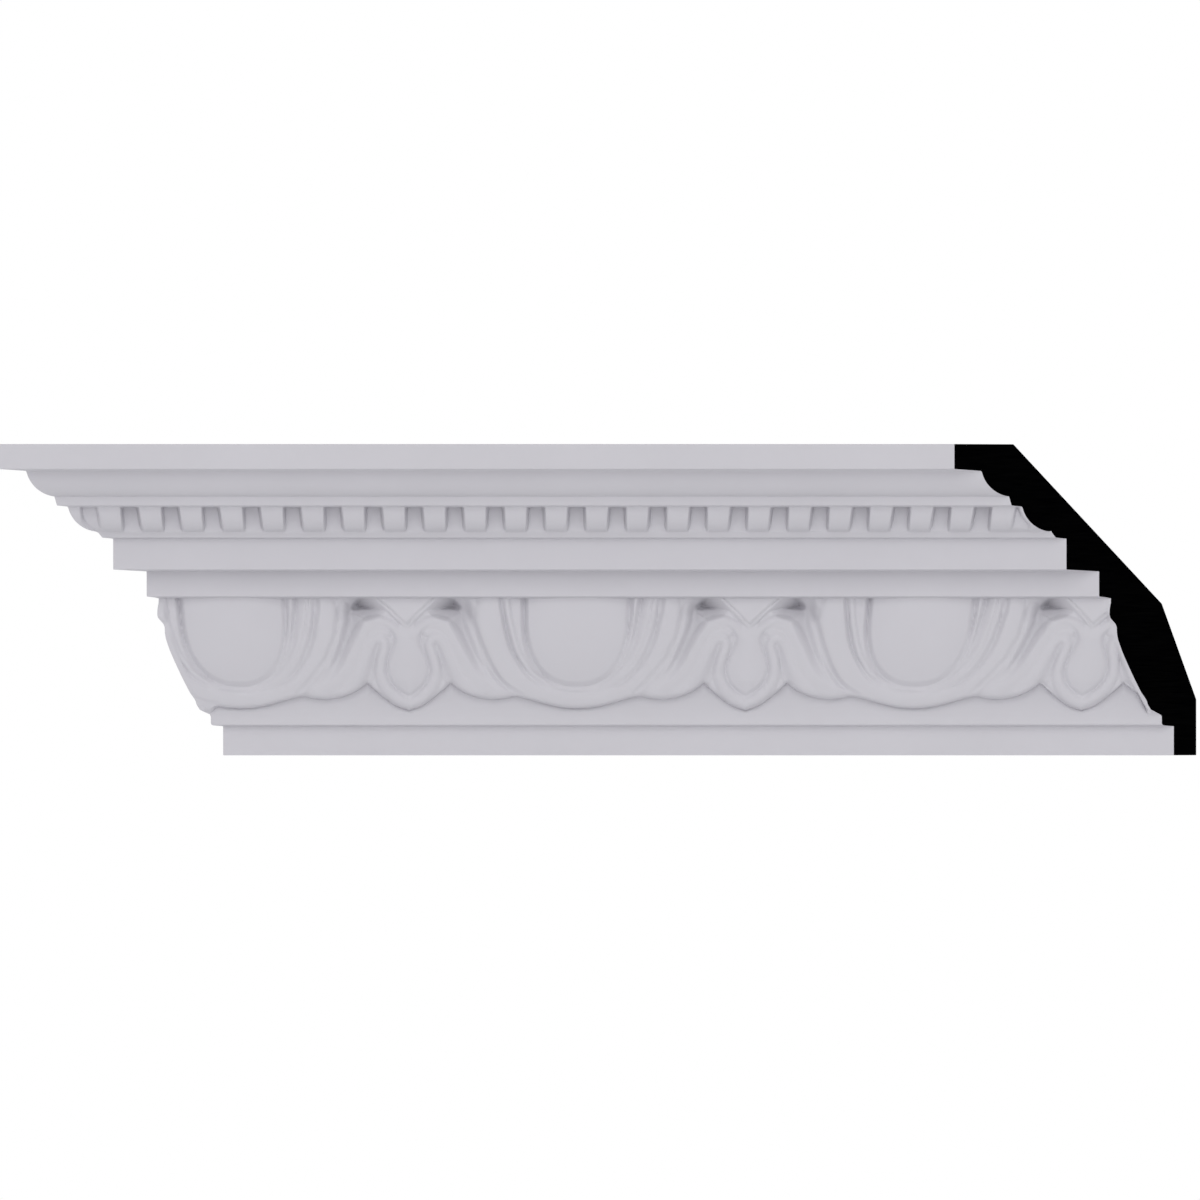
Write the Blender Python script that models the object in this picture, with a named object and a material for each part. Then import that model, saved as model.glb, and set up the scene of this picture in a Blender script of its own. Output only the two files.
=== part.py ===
"""Cornice moulding length: plain fascias, quarter rounds, a dentil course and an egg-and-dart course.

Metres. The length runs along X, the front faces -Y and +Z is up. The origin is on the wall, at the
middle of the face that meets it. In the section, depth runs from the front of the top fascia towards
the wall, and drop runs down from the ceiling. Both ends are cut to the same mitre.
"""
import math
from functools import partial

import bmesh
import bpy
import numpy as np
from mathutils import Vector

# Length, and the cut of both ends
FRONT_LENGTH = 0.4765
MITRE_ANGLE = math.radians(45)

# Plain members, from the ceiling down
TOP_FASCIA_HEIGHT = 0.01245
TOP_SOFFIT_DEPTH = 0.0133
OVOLO_RADIUS = 0.0161
FILLET_HEIGHT = 0.0045
FILLET_DRAFT = 0.0013
FILLET_LEDGE_DEPTH = 0.0050
BEAD_SETBACK = 0.0016
BEAD_DROP = 0.0007
BEAD_HEIGHT = 0.0024
BEAD_DEPTH = 0.0019
BEAD_LEDGE_DEPTH = 0.00535
MIDDLE_FASCIA_HEIGHT = 0.01545
MIDDLE_SOFFIT_DEPTH = 0.01655
LOWER_FASCIA_HEIGHT = 0.01255
LOWER_LEDGE_DEPTH = 0.0040
FOOT_HEIGHT = 0.0043
FOOT_LEDGE_DEPTH = 0.0061
BASE_FASCIA_HEIGHT = 0.0146
SOFFIT_FALL = 0.0009
LEDGE_FALL = 0.0005
QUIRK = 0.0005

# Quarter rounds start and end a little short of upright and level
ROUND_START = math.radians(13.5)
ROUND_END = math.radians(83)
ROUND_STEPS = 6

# Dentil course: teeth with a quarter-round face, and the hollows between them
DENTIL_RADIUS = 0.0157
DENTIL_PITCH = 0.0203
DENTIL_WIDTH = 0.0106
DENTIL_PROJECTION = 0.0100
DENTIL_DRAFT = 0.0014
DENTIL_ROUNDING = 0.0010
ROUNDING_CURVE = 4
FIRST_DENTIL = 0.0141

# Egg-and-dart course: the leaning band, its carving and the sunk ground behind
BAND_HEIGHT = 0.0592
BAND_LEAN = 0.0224
BAND_CURVE = 1.6
BAND_SETBACK = 0.0015
GROUND_TOP_DEPTH = 0.0135
GROUND_FOOT_DEPTH = 0.0039
CARVING_DEPTH = 0.0020
EGG_PITCH = 0.170
FIRST_EGG = 0.1186

# Faces that meet the wall and the ceiling, and the solid left behind the carving
WALL_FACE_HEIGHT = 0.0280
CEILING_FACE_DEPTH = 0.0297
BASE_THICKNESS = 0.0114
BACK_COVER = 0.0128
KNEE_BELOW_BAND_TOP = 0.0031

# Raw length beyond each cut. Along a cut the hollows are kept filled, and the relief runs out to one outline
CUT_ALLOWANCE = 0.010
CUT_SNAP = 0.0001
DENTIL_WEB = 0.0015
SMALLEST_HOLLOW = 0.0005
RELIEF_WEB = 0.0030
RELIEF_FADE = 0.0070

# The carving is drawn in parts: a repeat is 170 parts long and the band 59.2 parts high
REPEAT_PARTS = 170.0
BAND_PARTS = 59.2
HALF_REPEAT = REPEAT_PARTS / 2
EGG_HALF_WIDTH = 25.0
EGG_MIDDLE_DOWN = 10.0
EGG_HALF_HEIGHT = 33.5
EGG_SQUARENESS = 2.3
EGG_FULLNESS = 3
EGG_RISE = 1.4
CREASE_PLACE = 1.03
CREASE_HALF_WIDTH = 0.09
FRAME_RADIUS = 43.5
FRAME_HALF_WIDTH = 7.5
FRAME_FULLNESS = 1.5
FRAME_RISE = 0.9
PROUDEST = 0.6
FACET_HALF_WIDTH = 11.7
FACET_DOWN = 12.3
FACET_SLOPE = 0.05

# Lower edge of the carving: parts from the egg's middle, parts down
FRAME_AND_LEAF_EDGE = ((0, 55.8), (16, 53.6), (31, 49.3), (43, 50.7), (54, 48.4), (64, 42.6))
DART_EDGE = ((64, 42.6), (69, 46.9), (77, 53.0), (85, 56.2))

# The dart's bulb: parts down, half width
BULB_OUTLINE = ((14, 6.6), (19.5, 6.2), (28, 8.4), (37.5, 10.8), (43, 9.0), (47, 5.2), (50.5, 0.0))
BULB_RISE_PARTS = 5.0
THINNEST_BULB = 0.01

# Strokes: parts from the dart's middle, parts down, half width, and height in carving depths
LEAF_RIB = ((43, 46, 6.5, 0.8), (34, 40, 5.4, 0.8), (28, 29, 4.4, 0.8), (22.5, 17.8, 3.8, 0.8),
            (15.5, 12.8, 3.6, 0.8), (8.5, 14, 3.4, 0.7), (4, 18.5, 3.0, 0.3))
HOOK_RIB = ((30, 45.5, 3.8, 0.4), (24, 36, 3.4, 0.6), (20.5, 27, 3.2, 0.7), (15.5, 20.8, 3.0, 0.7),
            (11.8, 25, 2.8, 0.7), (13, 35, 3.0, 0.8), (13, 43, 3.2, 0.8), (6, 51, 3.4, 0.9),
            (0, 53.5, 3.4, 0.9))
SLOT = ((14.9, 24, 2.4, 0.8), (16.4, 30, 3.0, 1.4), (18.2, 37, 3.6, 2.0), (20.6, 43.5, 4.4, 2.6))
POCKET = ((20, 0, 12.5, 4.6), (22, 5, 9.5, 3.0), (27, 13, 6.0, 1.3), (31, 21.5, 4.5, 1.0),
          (34.5, 30, 3.6, 0.8), (40, 38, 3.2, 0.7), (49, 46, 3.0, 0.5), (54.5, 49.5, 2.8, 0.4))
FACET_GROOVE = ((13, 0, 2.6, 1.0), (6.5, 6.8, 2.4, 0.9), (0, 13.2, 2.4, 0.6))
STROKE_STEPS = 10

# Grid of the carving: columns between its cusps in half a repeat, and rows down the band
COLUMN_CUSPS = (0.0, 31.0, 64.0, HALF_REPEAT)
COLUMN_COUNTS = (9, 9, 7)
CARVED_ROWS = 21
EDGE_FALL = 1.0
EDGE_ROUND = 3.0
EDGE_ROLL = 0.8

# The relief's outline along a cut: parts down, and height over the band in carving depths
CUT_OUTLINE = ((0, -0.2), (3, 0.0), (8, 0.6), (9.7, 0.6), (12.7, -0.4), (15, -0.5), (18, -0.1), (22, 0.0),
               (35, -0.1), (47, -0.2), (50.5, -0.4), (54.5, -0.2))
CUT_OUTLINE_FOOT = 55.6

SURFACE_COLOUR = (0.56, 0.55, 0.585, 1.0)
SURFACE_ROUGHNESS = 0.62


def clear_scene():
    for thing in list(bpy.data.objects):
        bpy.data.objects.remove(thing, do_unlink=True)


def smooth_path(points):
    """Catmull-Rom curve through the points."""
    knots = np.array(points, dtype=float)
    padded = np.vstack([2 * knots[0] - knots[1], knots, 2 * knots[-1] - knots[-2]])
    t = np.linspace(0, 1, STROKE_STEPS, endpoint=False)[:, None]
    spans = []
    for a, b, c, d in zip(padded, padded[1:], padded[2:], padded[3:]):
        cubic = 3 * b - a - 3 * c + d
        spans.append(b + 0.5 * ((c - a) * t + (2 * a - 5 * b + 4 * c - d) * t ** 2 + cubic * t ** 3))
    return np.vstack(spans + [knots[-1:]])


def stroke(points, across, down):
    """Height of a stroke that swells and narrows along its path, at each grid point."""
    path = smooth_path(points)
    gap = np.hypot(across[..., None] - path[:, 0], down[..., None] - path[:, 1])
    reach = gap / path[:, 2]
    nearest = reach.argmin(axis=-1)
    reach = np.minimum(reach.min(axis=-1), 1)
    return path[nearest, 3] * (1 - reach ** 2) ** 2


def lower_edge(from_egg):
    """How far down the carving reaches, in parts, at each distance from the egg's middle."""
    outline = np.vstack([smooth_path(FRAME_AND_LEAF_EDGE), smooth_path(DART_EDGE)[1:]])
    return np.interp(from_egg, outline[:, 0], outline[:, 1])


def egg_and_frame(from_egg, down):
    """Height of the egg, the crease round it and the round frame outside."""
    below = np.maximum(down - EGG_MIDDLE_DOWN, 0)
    egg = ((from_egg / EGG_HALF_WIDTH) ** EGG_SQUARENESS
           + (below / EGG_HALF_HEIGHT) ** EGG_SQUARENESS) ** (1 / EGG_SQUARENESS)
    crease = np.maximum(1 - np.abs(egg - CREASE_PLACE) / CREASE_HALF_WIDTH, 0)
    ring = np.hypot(from_egg, down - EGG_MIDDLE_DOWN)
    across = np.minimum(np.abs(ring - FRAME_RADIUS) / FRAME_HALF_WIDTH, 1)
    dome = EGG_RISE * (1 - np.minimum(egg, 1) ** EGG_FULLNESS)
    return dome - crease + FRAME_RISE * (1 - across ** 2) ** FRAME_FULLNESS


def dart_bulb(from_dart, down):
    """Height of the dart's rounded bulb."""
    outline = smooth_path(BULB_OUTLINE)
    top, tip = outline[0, 0], outline[-1, 0]
    half_width = np.maximum(np.interp(down, outline[:, 0], outline[:, 1]), THINNEST_BULB)
    across = np.minimum(from_dart / half_width, 1)
    rise = np.clip((down - top) / BULB_RISE_PARTS, 0, 1) * np.clip((tip - down) / BULB_RISE_PARTS, 0, 1)
    return (1 - across ** 2) * rise


def carving(from_egg, down):
    """How far the carved face lies behind the band's own curve, in carving depths."""
    from_dart = HALF_REPEAT - from_egg
    sunk = 1 - egg_and_frame(from_egg, down) - dart_bulb(from_dart, down)
    sunk -= stroke(LEAF_RIB, from_dart, down) + stroke(HOOK_RIB, from_dart, down)
    sunk += stroke(SLOT, from_dart, down) + stroke(FACET_GROOVE, from_dart, down)
    in_facet = from_dart < FACET_HALF_WIDTH * (1 - down / FACET_DOWN)
    sunk += np.where(in_facet, 0, stroke(POCKET, from_dart, down))
    sunk = np.where(in_facet, -FACET_SLOPE * down, sunk)
    to_edge = np.clip(1 - (lower_edge(from_egg) - down) / EDGE_ROUND, 0, 1)
    return np.maximum(sunk + EDGE_ROLL * to_edge ** 2, -PROUDEST)


class Section:
    """Walks round the section. Each member is a function that makes its rows from left to right."""

    def __init__(self):
        self.members = []
        self.corner(0.0, 0.0)

    def corner(self, depth, drop):
        self.depth = depth
        self.drop = drop
        self.members.append(partial(straight_row, depth, drop))

    def go(self, back=0.0, down=0.0):
        self.corner(self.depth + back, self.drop + down)

    def soffit(self, back):
        self.go(back, SOFFIT_FALL)

    def ledge(self, back):
        self.go(back, LEDGE_FALL)

    def round(self, radius):
        for depth, drop in quarter_round(self.depth + QUIRK, self.drop + QUIRK, radius):
            self.corner(depth, drop)

    def dentils(self):
        """Takes the place of the straight row that it starts from."""
        face = quarter_round(self.depth + QUIRK, self.drop + QUIRK, DENTIL_RADIUS)
        self.members[-1] = partial(dentil_rows, self.depth, self.drop, face)
        self.depth, self.drop = bead_top(face)

    def egg_and_dart(self):
        """Takes the place of the straight row that it starts from."""
        self.members[-1] = partial(carved_rows, self.depth, self.drop)
        self.depth += BAND_SETBACK + BAND_LEAN + GROUND_FOOT_DEPTH
        self.drop += QUIRK + BAND_HEIGHT


def quarter_round(depth, drop, radius):
    """Points of a convex quarter round that begins at the given depth and drop."""
    middle_depth = depth + radius * math.cos(ROUND_START)
    middle_drop = drop - radius * math.sin(ROUND_START)
    angles = np.linspace(ROUND_START, ROUND_END, ROUND_STEPS + 1)
    return [(middle_depth - radius * math.cos(a), middle_drop + radius * math.sin(a)) for a in angles]


def bead_top(face):
    """Where the teeth and the hollows between them meet the bead."""
    depth, drop = face[-1]
    return depth + BEAD_SETBACK, drop + BEAD_DROP


def straight_row(depth, drop, left, right):
    return [[(left, depth, drop), (right, depth, drop)]]


def cuts_at(depth):
    """Where the left and the right cut are at the given depth."""
    setback = depth * math.tan(MITRE_ANGLE)
    return setback, FRONT_LENGTH + setback


def teeth_across(teeth, half_width, face_depth, hollow_depth, top_depth):
    """Four places to a tooth: the hollow, both arrises of its face, the hollow again.

    The tooth beside a cut reaches along it in a thin web, so that no hollow is cut open.
    """
    start_left, start_right = cuts_at(top_depth)
    left_tooth = math.floor((start_left - FIRST_DENTIL + DENTIL_WIDTH / 2) / DENTIL_PITCH)
    right_tooth = math.ceil((start_right - FIRST_DENTIL - DENTIL_WIDTH / 2) / DENTIL_PITCH)
    face_left, face_right = cuts_at(face_depth)
    hollow_left = cuts_at(hollow_depth)[0]
    foot_half = half_width + DENTIL_DRAFT
    places = []
    for n in teeth:
        middle = FIRST_DENTIL + DENTIL_PITCH * n
        start, end = middle - foot_half, middle + foot_half
        face_start, face_end = middle - half_width, middle + half_width
        if n == left_tooth:
            limit = start + DENTIL_PITCH - SMALLEST_HOLLOW
            end = min(max(end, hollow_left + DENTIL_WEB), limit)
            face_end = min(max(face_end, face_left + DENTIL_WEB), limit - SMALLEST_HOLLOW)
        if n == right_tooth:
            limit = end - DENTIL_PITCH + SMALLEST_HOLLOW
            face_start = max(min(face_start, face_right - DENTIL_WEB), limit + SMALLEST_HOLLOW)
            start = max(min(start, face_start - DENTIL_DRAFT), limit)
        places.append((start, face_start, face_end, end))
    return places


def dentil_row(left, right, places, face_depth, hollow_depth, drop):
    row = [(left, hollow_depth, drop)]
    for start, face_start, face_end, end in places:
        row += [(start, hollow_depth, drop), (face_start, face_depth, drop),
                (face_end, face_depth, drop), (end, hollow_depth, drop)]
    row.append((right, hollow_depth, drop))
    return row


def dentil_rows(depth, drop, face, left, right):
    """The hollows slope straight back from the top of the course to the bead below it."""
    first = math.ceil((left - FIRST_DENTIL) / DENTIL_PITCH + 0.5)
    last = math.floor((right - FIRST_DENTIL) / DENTIL_PITCH - 0.5)
    teeth = range(first, last + 1)
    top_depth, top_drop = face[0]
    foot_depth, foot_drop = face[-1]
    hollow_top = top_depth + DENTIL_PROJECTION
    bead_depth, bead_drop = bead_top(face)
    half_width = DENTIL_WIDTH / 2
    places = teeth_across(teeth, half_width, top_depth, hollow_top, top_depth)
    rows = [dentil_row(left, right, places, depth, depth, drop)]
    for face_depth, face_drop in face:
        share = (face_drop - top_drop) / (bead_drop - top_drop)
        hollow_depth = hollow_top + (bead_depth - hollow_top) * share
        rounding = DENTIL_ROUNDING * ((face_drop - top_drop) / (foot_drop - top_drop)) ** ROUNDING_CURVE
        places = teeth_across(teeth, half_width - rounding, face_depth, hollow_depth, top_depth)
        rows.append(dentil_row(left, right, places, face_depth, hollow_depth, face_drop))
    rows.append(dentil_row(left, right, places, bead_depth, bead_depth, bead_drop))
    return rows


def carved_columns(left, right):
    """Places along the length where the carving is cut, closer together towards its cusps."""
    half = [np.linspace(a, b, n, endpoint=False)
            for a, b, n in zip(COLUMN_CUSPS, COLUMN_CUSPS[1:], COLUMN_COUNTS)]
    half = np.concatenate(half)
    repeat = np.concatenate([half, [HALF_REPEAT], REPEAT_PARTS - half[:0:-1]])
    first = math.floor((left - FIRST_EGG) / EGG_PITCH)
    last = math.ceil((right - FIRST_EGG) / EGG_PITCH)
    part = EGG_PITCH / REPEAT_PARTS
    x = np.concatenate([FIRST_EGG + EGG_PITCH * n + part * repeat for n in range(first, last)])
    x = x[(x > left + part) & (x < right - part)]
    return np.concatenate([[left], x, [right]])


def nearness_to_cut(x, depth):
    """1 along either cut, falling to 0 where the relief is whole."""
    left_cut, right_cut = cuts_at(depth)
    gap = np.minimum(x - left_cut, right_cut - x)
    share = np.clip((RELIEF_FADE - gap) / (RELIEF_FADE - RELIEF_WEB), 0, 1)
    return share ** 2 * (3 - 2 * share)


def carved_rows(depth, drop, left, right):
    """Rows follow the carving's lower edge, so that the edge stays crisp."""
    x = carved_columns(left, right)
    along = (x - FIRST_EGG) / EGG_PITCH
    from_egg = np.abs(along - np.round(along)) * REPEAT_PARTS
    outline_down, outline_height = np.array(CUT_OUTLINE).T

    def band_depth(down):
        return depth + BAND_SETBACK + BAND_LEAN * (down / BAND_PARTS) ** BAND_CURVE

    def row(down, sunk):
        return list(zip(x, band_depth(down) + sunk, drop + QUIRK + BAND_HEIGHT * down / BAND_PARTS))

    def ground(down):
        return GROUND_TOP_DEPTH + (GROUND_FOOT_DEPTH - GROUND_TOP_DEPTH) * down / BAND_PARTS

    edge = lower_edge(from_egg)
    edge += (CUT_OUTLINE_FOOT - edge) * nearness_to_cut(x, band_depth(edge))
    rows = [[(place, depth, drop) for place in x]]
    for share in np.linspace(0, 1, CARVED_ROWS):
        down = share * edge
        near = nearness_to_cut(x, band_depth(down))
        height = -carving(from_egg, down)
        height += (np.interp(down, outline_down, outline_height) - height) * near
        rows.append(row(down, np.minimum(-CARVING_DEPTH * height, ground(down))))
    rows.append(row(edge + EDGE_FALL, ground(edge + EDGE_FALL)))
    foot = np.full(x.shape, BAND_PARTS)
    rows.append(row(foot, ground(foot)))
    return rows


def walk_section():
    """The whole section: down the front, along the foot, and up the wall and the sloping back."""
    section = Section()
    section.go(down=TOP_FASCIA_HEIGHT)
    section.soffit(TOP_SOFFIT_DEPTH)
    section.round(OVOLO_RADIUS)
    section.go(FILLET_DRAFT, FILLET_HEIGHT)
    section.ledge(FILLET_LEDGE_DEPTH)
    section.dentils()
    section.go(BEAD_DEPTH, BEAD_HEIGHT)
    section.ledge(BEAD_LEDGE_DEPTH)
    section.go(down=MIDDLE_FASCIA_HEIGHT)
    section.soffit(MIDDLE_SOFFIT_DEPTH)
    section.go(down=LOWER_FASCIA_HEIGHT)
    section.ledge(LOWER_LEDGE_DEPTH)
    knee_depth = section.depth + BAND_SETBACK + GROUND_TOP_DEPTH + BACK_COVER
    knee_drop = section.drop + KNEE_BELOW_BAND_TOP
    section.egg_and_dart()
    section.go(down=FOOT_HEIGHT)
    section.ledge(FOOT_LEDGE_DEPTH)
    section.go(down=BASE_FASCIA_HEIGHT)
    section.go(back=BASE_THICKNESS)
    wall_depth = section.depth
    wall_middle_drop = section.drop - WALL_FACE_HEIGHT / 2
    section.go(down=-WALL_FACE_HEIGHT)
    section.corner(knee_depth, knee_drop)
    section.corner(CEILING_FACE_DEPTH, 0.0)
    return section, wall_depth, wall_middle_drop


def join_rows(bm, upper, lower):
    """Quads between rows with the same number of points, or else one flat face."""
    if len(upper) == len(lower) and len(upper) > 2:
        for a, b, c, d in zip(upper, upper[1:], lower[1:], lower):
            bm.faces.new((a, b, c, d))
    else:
        bm.faces.new(upper + lower[::-1])


def cut_end(bm, place, normal, keep_outer):
    """Cuts the body on a plane and closes it with one flat face. Points almost on the plane are put on it."""
    normal = Vector(normal).normalized()
    for vert in bm.verts:
        gap = (vert.co - Vector(place)).dot(normal)
        if abs(gap) < CUT_SNAP:
            vert.co -= gap * normal
    everything = bm.verts[:] + bm.edges[:] + bm.faces[:]
    cut = bmesh.ops.bisect_plane(bm, geom=everything, dist=1e-6, plane_co=place, plane_no=normal,
                                 clear_inner=keep_outer, clear_outer=not keep_outer)
    rim = [piece for piece in cut["geom_cut"] if isinstance(piece, bmesh.types.BMEdge)]
    bmesh.ops.contextual_create(bm, geom=rim)


def make_cornice():
    """The whole length, as one closed mesh."""
    section, wall_depth, wall_middle_drop = walk_section()
    slope = math.tan(MITRE_ANGLE)
    left = -CUT_ALLOWANCE
    right = FRONT_LENGTH + wall_depth * slope + CUT_ALLOWANCE
    middle = FRONT_LENGTH / 2 + wall_depth * slope

    bm = bmesh.new()
    rows = []
    for member in section.members:
        for row in member(left, right):
            rows.append([bm.verts.new((x - middle, depth - wall_depth, wall_middle_drop - drop))
                         for x, depth, drop in row])
    for upper, lower in zip(rows, rows[1:] + rows[:1]):
        join_rows(bm, upper, lower)

    normal = (1.0, -slope, 0.0)
    cut_end(bm, (-middle, -wall_depth, 0.0), normal, keep_outer=True)
    cut_end(bm, (FRONT_LENGTH - middle, -wall_depth, 0.0), normal, keep_outer=False)
    bmesh.ops.recalc_face_normals(bm, faces=bm.faces[:])

    mesh = bpy.data.meshes.new("cornice_length")
    bm.to_mesh(mesh)
    bm.free()
    return mesh


def primed_surface():
    material = bpy.data.materials.new("primed_surface")
    material.use_nodes = True
    shader = material.node_tree.nodes["Principled BSDF"]
    shader.inputs["Base Color"].default_value = SURFACE_COLOUR
    shader.inputs["Roughness"].default_value = SURFACE_ROUGHNESS
    shader.inputs["Metallic"].default_value = 0.0
    return material


def main():
    clear_scene()
    mesh = make_cornice()
    mesh.materials.append(primed_surface())
    cornice = bpy.data.objects.new("cornice_length", mesh)
    bpy.context.collection.objects.link(cornice)


main()
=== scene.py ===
import math
from functools import partial

import bmesh
import bpy
import numpy as np
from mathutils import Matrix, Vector


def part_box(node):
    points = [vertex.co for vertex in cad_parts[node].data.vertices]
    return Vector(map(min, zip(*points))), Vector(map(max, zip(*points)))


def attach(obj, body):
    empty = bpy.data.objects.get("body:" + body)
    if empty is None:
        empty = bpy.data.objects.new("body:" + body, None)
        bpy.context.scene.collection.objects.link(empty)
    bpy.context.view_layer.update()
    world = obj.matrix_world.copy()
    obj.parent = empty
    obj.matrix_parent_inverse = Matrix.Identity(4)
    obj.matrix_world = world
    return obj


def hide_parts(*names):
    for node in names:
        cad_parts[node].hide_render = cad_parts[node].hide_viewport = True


MM = 0.001

# Camera: square to the front, far enough away that the length shows without perspective
FRAME_WIDTH = 0.600
CAMERA_DISTANCE = 20.0
SENSOR_WIDTH = 36.0
NEAREST_SEEN = 0.1
FARTHEST_SEEN = 100.0
AIM = (-0.06075, -0.0600, 0.06384)

# Length, and the cut of both ends, in millimetres as are all sizes down to the colours
FRONT_LENGTH = 476.5
MITRE_SLOPE = 1.0
CUT_ALLOWANCE = 10.0

# Beside a cut a thin web closes each hollow, the last hollow is part filled, and the relief fades out
DENTIL_WEB = 1.2
SMALLEST_HOLLOW = 0.02
FILL_BESIDE_CUT = 0.55
RELIEF_WEB = 1.2
RELIEF_FADE = 3.0
EDGE_FADE = 6.0
FOOT_FADE = 1.6

# Plain members, from the ceiling down
TOP_FASCIA_HEIGHT = 12.45
TOP_SOFFIT_DEPTH = 13.3
OVOLO_RADIUS = 16.1
FILLET_HEIGHT = 4.5
FILLET_DRAFT = 1.3
FILLET_LEDGE_DEPTH = 5.0
BEAD_SETBACK = 1.6
BEAD_DROP = 0.7
BEAD_HEIGHT = 2.4
BEAD_DEPTH = 1.9
BEAD_LEDGE_DEPTH = 5.35
MIDDLE_FASCIA_HEIGHT = 15.45
MIDDLE_SOFFIT_DEPTH = 16.55
LOWER_FASCIA_HEIGHT = 12.55
LOWER_LEDGE_DEPTH = 4.0
FOOT_HEIGHT = 4.3
FOOT_LEDGE_DEPTH = 6.1
BASE_FASCIA_HEIGHT = 14.6
SOFFIT_FALL = 0.9
LEDGE_FALL = 0.5
QUIRK = 0.5
ARRIS = 0.35
FOOT_ARRIS = 1.3
ARRIS_STEPS = 4
ARRIS_SHARE = 0.4

ROUND_START = math.radians(13.5)
ROUND_END = math.radians(83)
ROUND_STEPS = 20

# Dentil course
DENTIL_RADIUS = 15.7
DENTIL_PITCH = 20.3
DENTIL_TOP_WIDTH = 11.2
DENTIL_FOOT_WIDTH = 10.0
DENTIL_PROJECTION = 10.0
DENTIL_DRAFT = 1.4
DENTIL_ROUNDING = 0.9
DENTIL_ARRIS = 0.5
DENTIL_ARRIS_SHARE = 0.2
ROUNDING_CURVE = 8
FIRST_DENTIL = 14.1

# A tooth's side, in shares of its draft, then its face's arris, in shares of the arris: place, how far out
TOOTH_SIDE = ((0.0, 0.0), (0.5, 0.5), (0.88, 0.88))
TOOTH_ARRIS = ((0.3, 0.97), (1.0, 0.995), (2.0, 1.0))

# Egg-and-dart course
BAND_HEIGHT = 59.2
BAND_LEAN = 22.4
BAND_CURVE = 1.6
BAND_SETBACK = 1.5
GROUND_TOP_DEPTH = 13.5
GROUND_FOOT_DEPTH = 3.9
EGG_PITCH = 170.0
FIRST_EGG = 118.6
HALF_REPEAT = EGG_PITCH / 2
COLUMN_CUSPS = (0.0, 31.0, 64.0, HALF_REPEAT)
COLUMN_COUNTS = (47, 50, 32)
NARROWEST_COLUMN = 1.0
CARVED_ROWS = 92

# The carving's lower edge: its fall to the ground, away from a cut and at one, and the roll above it
EDGE_FALL = 0.9
CUT_EDGE_FALL = 2.8
EDGE_ROUND = 2.2
EDGE_ROLL = 0.9

# Below the edge: share of the way down the ground, how much deeper it is there
GROUND_ROWS = ((0.0, 1.3), (0.1, 0.9), (0.25, 0.35), (0.55, 0.0), (1.0, 0.0))

# Faces that meet the wall and the ceiling
WALL_FACE_HEIGHT = 28.0
CEILING_FACE_DEPTH = 29.7
BASE_THICKNESS = 11.4
BACK_COVER = 12.8
KNEE_BELOW_BAND_TOP = 3.1

# Mesh: how near to a cut's plane a point counts as on it, in metres, and the sharpest angle shaded smooth
CUT_TOLERANCE = 1e-7
SMOOTH_ANGLE = math.radians(42)

# Lower edge of the carving: distance from the egg's middle, distance down
FRAME_AND_LEAF_EDGE = ((0, 54.4), (8, 53.8), (16, 52.1), (23.3, 50.1), (31, 48.4), (36, 49.2),
                       (43, 49.8), (49, 49.1), (54.5, 47.4), (59, 45.3), (64, 41.8))
DART_EDGE = ((64, 41.8), (68.6, 45.8), (73.3, 49.6), (78.3, 52.9), (85, 55.3))

# The relief's outline along a cut: distance down, height over the band's curve
CUT_OUTLINE = ((0, -0.5), (2.2, -0.3), (5.2, 0.6), (8.2, 1.2), (9.7, 1.1), (11.2, 0.1), (12.7, -0.9),
               (14.2, -1.1), (15.7, -0.8), (17.2, -0.4), (20.2, 0), (26, 0), (35, -0.3), (47.2, -0.4),
               (50.2, -0.9), (51.7, -0.8), (53.2, -0.35), (54.7, -0.45))
CUT_OUTLINE_FOOT = 55.6

# The carving's levels are heights above the band's curve, so sunk parts are below zero
FIELD = -2.0
EGG_LEFT_HALF_WIDTH = 25.8
EGG_RIGHT_HALF_WIDTH = 24.8
EGG_MIDDLE_DOWN = 10.0
EGG_HALF_HEIGHT = 33.4
EGG_SQUARENESS = 2.3
EGG_RISE = 3.3
EGG_FULLNESS = 2.6
RING_RADIUS = 43.8
RING_OUTER = 7.2
RING_INNER = 7.6
RING_INNER_RIGHT = 4.6
RING_NARROWING = 22.0
RING_RISE = 1.9
RING_FULLNESS = 3
FACET_HALF_WIDTH = 12.2
FACET_DOWN = 12.0
FACET_START = 1.0
FACET_RISE = 0.05
FILLET_OUT = 1.6
FILLET_HALF = 0.4
FILLET_LEVEL = -0.6
WALL_STEEPNESS = 1.5

# The relief and the teeth fan out: each leans in proportion to its distance from the upright place.
# The relief stays in place at the pivot's distance down, and the lower edge is shifted as at EDGE_DOWN
UPRIGHT_PLACE = 267.0
RELIEF_LEAN = 0.00052
RELIEF_PIVOT_DOWN = 32.0
EDGE_DOWN = 50.0
DENTIL_LEAN = 0.0075

# Depth of the crease round the egg: distances down, then depths on its left and right
CREASE_DOWN = (0, 12, 28, 38, 44)
CREASE_LEFT = (3.0, 2.7, 1.9, 2.0, 1.6)
CREASE_RIGHT = (1.2, 1.2, 1.4, 1.6, 1.6)
CREASE_BLEND = 10.0

# Where the crease lies and how far it reaches, in shares of the egg, and how sharp it is
CREASE_AT = 1.03
CREASE_REACH = 0.085
CREASE_FLARE = 1.2

# The dart's bulb: distance down, half width
BULB_OUTLINE = ((13, 7.2), (17, 7.6), (20.5, 6.8), (24.5, 7.6), (29, 9.4), (33, 10.4), (36.5, 10.5),
                (40, 9.5), (43.5, 7.4), (46, 4.6), (47.6, 2.2), (48.4, 0))
BULB_RISE = 2.2
BULB_END = 7.0
BULB_END_CURVE = 0.6
BULB_NARROWEST = 0.01

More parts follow.
